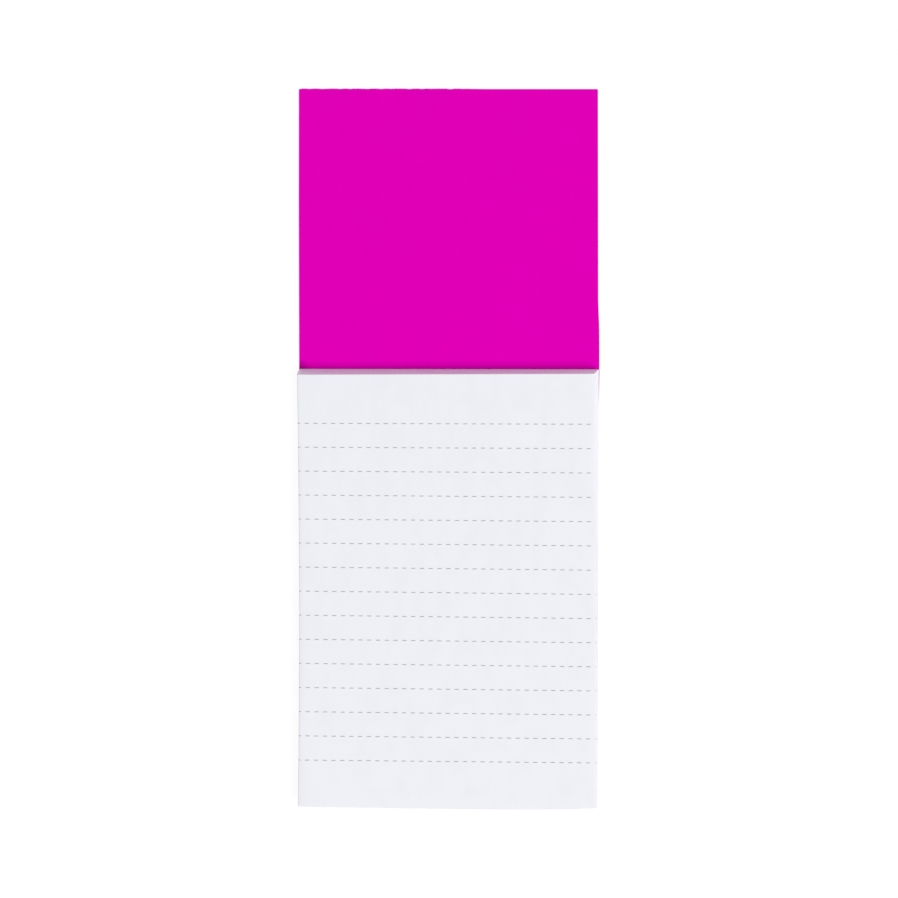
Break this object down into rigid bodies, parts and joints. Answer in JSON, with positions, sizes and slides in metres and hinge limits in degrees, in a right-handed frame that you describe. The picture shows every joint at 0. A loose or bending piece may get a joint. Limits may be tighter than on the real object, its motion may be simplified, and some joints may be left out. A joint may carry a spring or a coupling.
{
  "type": "magnetic notepad",
  "caption": "Slim magnetic notepad: a gummed block of white leaves ruled with dashed lines, on a flexible magnet sheet whose magenta header stays bare above them.",
  "frame": {"origin": "middle of the magnetic back, which lies at z = 0", "axes": "+X across the notepad to the reader's right, +Y from the foot of the leaves towards the bare header, +Z out of the top leaf towards the reader"},
  "size_m": [0.0625, 0.1492, 0.005],
  "materials": {
    "magnet_rubber": "matte",
    "magenta_vinyl": "satin",
    "clear_adhesive": "gloss",
    "leaf_paper": "matte",
    "dried_gum": "satin"
  },
  "bodies": {
    "root": {"magnet_sheet": "magnet_rubber", "cover_film": "magenta_vinyl", "pad_tape": "clear_adhesive", "leaf_block": "leaf_paper", "binding_gum": "dried_gum"}
  },
  "joints": []
}
